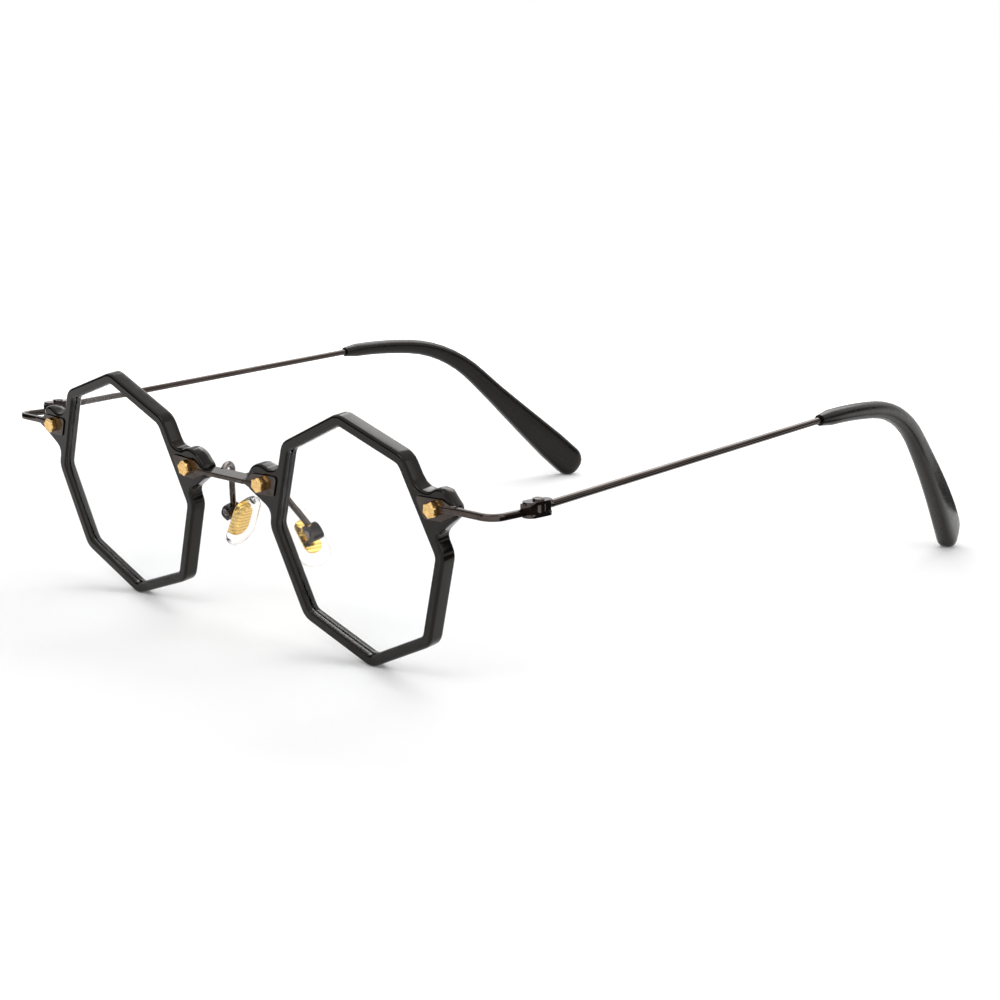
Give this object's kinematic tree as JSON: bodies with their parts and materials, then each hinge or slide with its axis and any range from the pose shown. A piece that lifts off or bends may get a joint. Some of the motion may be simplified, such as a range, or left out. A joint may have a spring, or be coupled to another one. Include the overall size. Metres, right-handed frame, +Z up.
{
  "type": "eyeglasses",
  "caption": "Combination eyeglasses: octagonal acetate rims with inlaid metal bridge and endpieces, folding wire temples with curved tips, and rocking nose pads.",
  "frame": {"origin": "on the table under the middle of the whole object's box, temples open", "axes": "+X to the wearer's left, +Y backwards along the open temples, +Z up; the front faces -Y"},
  "size_m": [0.131, 0.1497, 0.0416],
  "materials": {
    "acetate": "polished cellulose acetate",
    "tip_acetate": "tumbled, satin sheen",
    "gunmetal": "dark gunmetal plating, polished",
    "gold_metal": "pale gold plating",
    "black_metal": "gloss black plating",
    "screw_steel": "bright screw steel",
    "demo_lens": "clear, anti-reflection coat",
    "pad_silicone": "clear soft plastic"
  },
  "bodies": {
    "front": {"bridge": "gunmetal", "rim_left": "acetate", "rim_right": "acetate", "lens_left": "demo_lens", "lens_right": "demo_lens", "rivet_nasal_left": "gold_metal", "rivet_nasal_right": "gold_metal", "rivet_temporal_left": "gold_metal", "rivet_temporal_right": "gold_metal", "endpiece_left": "gunmetal", "endpiece_right": "gunmetal", "hinge_screw_left": "screw_steel", "hinge_screw_right": "screw_steel", "pad_arm_left": "gunmetal", "pad_arm_right": "gunmetal", "pad_box_left": "black_metal", "pad_box_right": "black_metal", "pad_screw_left": "screw_steel", "pad_screw_right": "screw_steel"},
    "left_temple": {"temple_left": "gunmetal", "temple_tip_left": "tip_acetate"},
    "right_temple": {"temple_right": "gunmetal", "temple_tip_right": "tip_acetate"},
    "left_pad": {"pad_insert_left": "gold_metal", "nose_pad_left": "pad_silicone"},
    "right_pad": {"pad_insert_right": "gold_metal", "nose_pad_right": "pad_silicone"}
  },
  "joints": [
    {"name": "left_temple_fold", "type": "hinge", "parent": "front", "child": "left_temple", "pos_m": [0.06429, -0.06443, 0.03041], "axis": [0, 0, 1], "range_deg": [0, 86]},
    {"name": "right_temple_fold", "type": "hinge", "parent": "front", "child": "right_temple", "pos_m": [-0.06429, -0.06443, 0.03041], "axis": [0, 0, -1], "range_deg": [0, 74]},
    {"name": "left_pad_rock", "type": "hinge", "parent": "front", "child": "left_pad", "pos_m": [0.0116, -0.06313, 0.01791], "axis": [0.0948, 0.9671, 0.2363], "range_deg": [-12, 12]},
    {"name": "right_pad_rock", "type": "hinge", "parent": "front", "child": "right_pad", "pos_m": [-0.0116, -0.06313, 0.01791], "axis": [-0.0948, 0.9671, 0.2363], "range_deg": [-12, 12]}
  ]
}
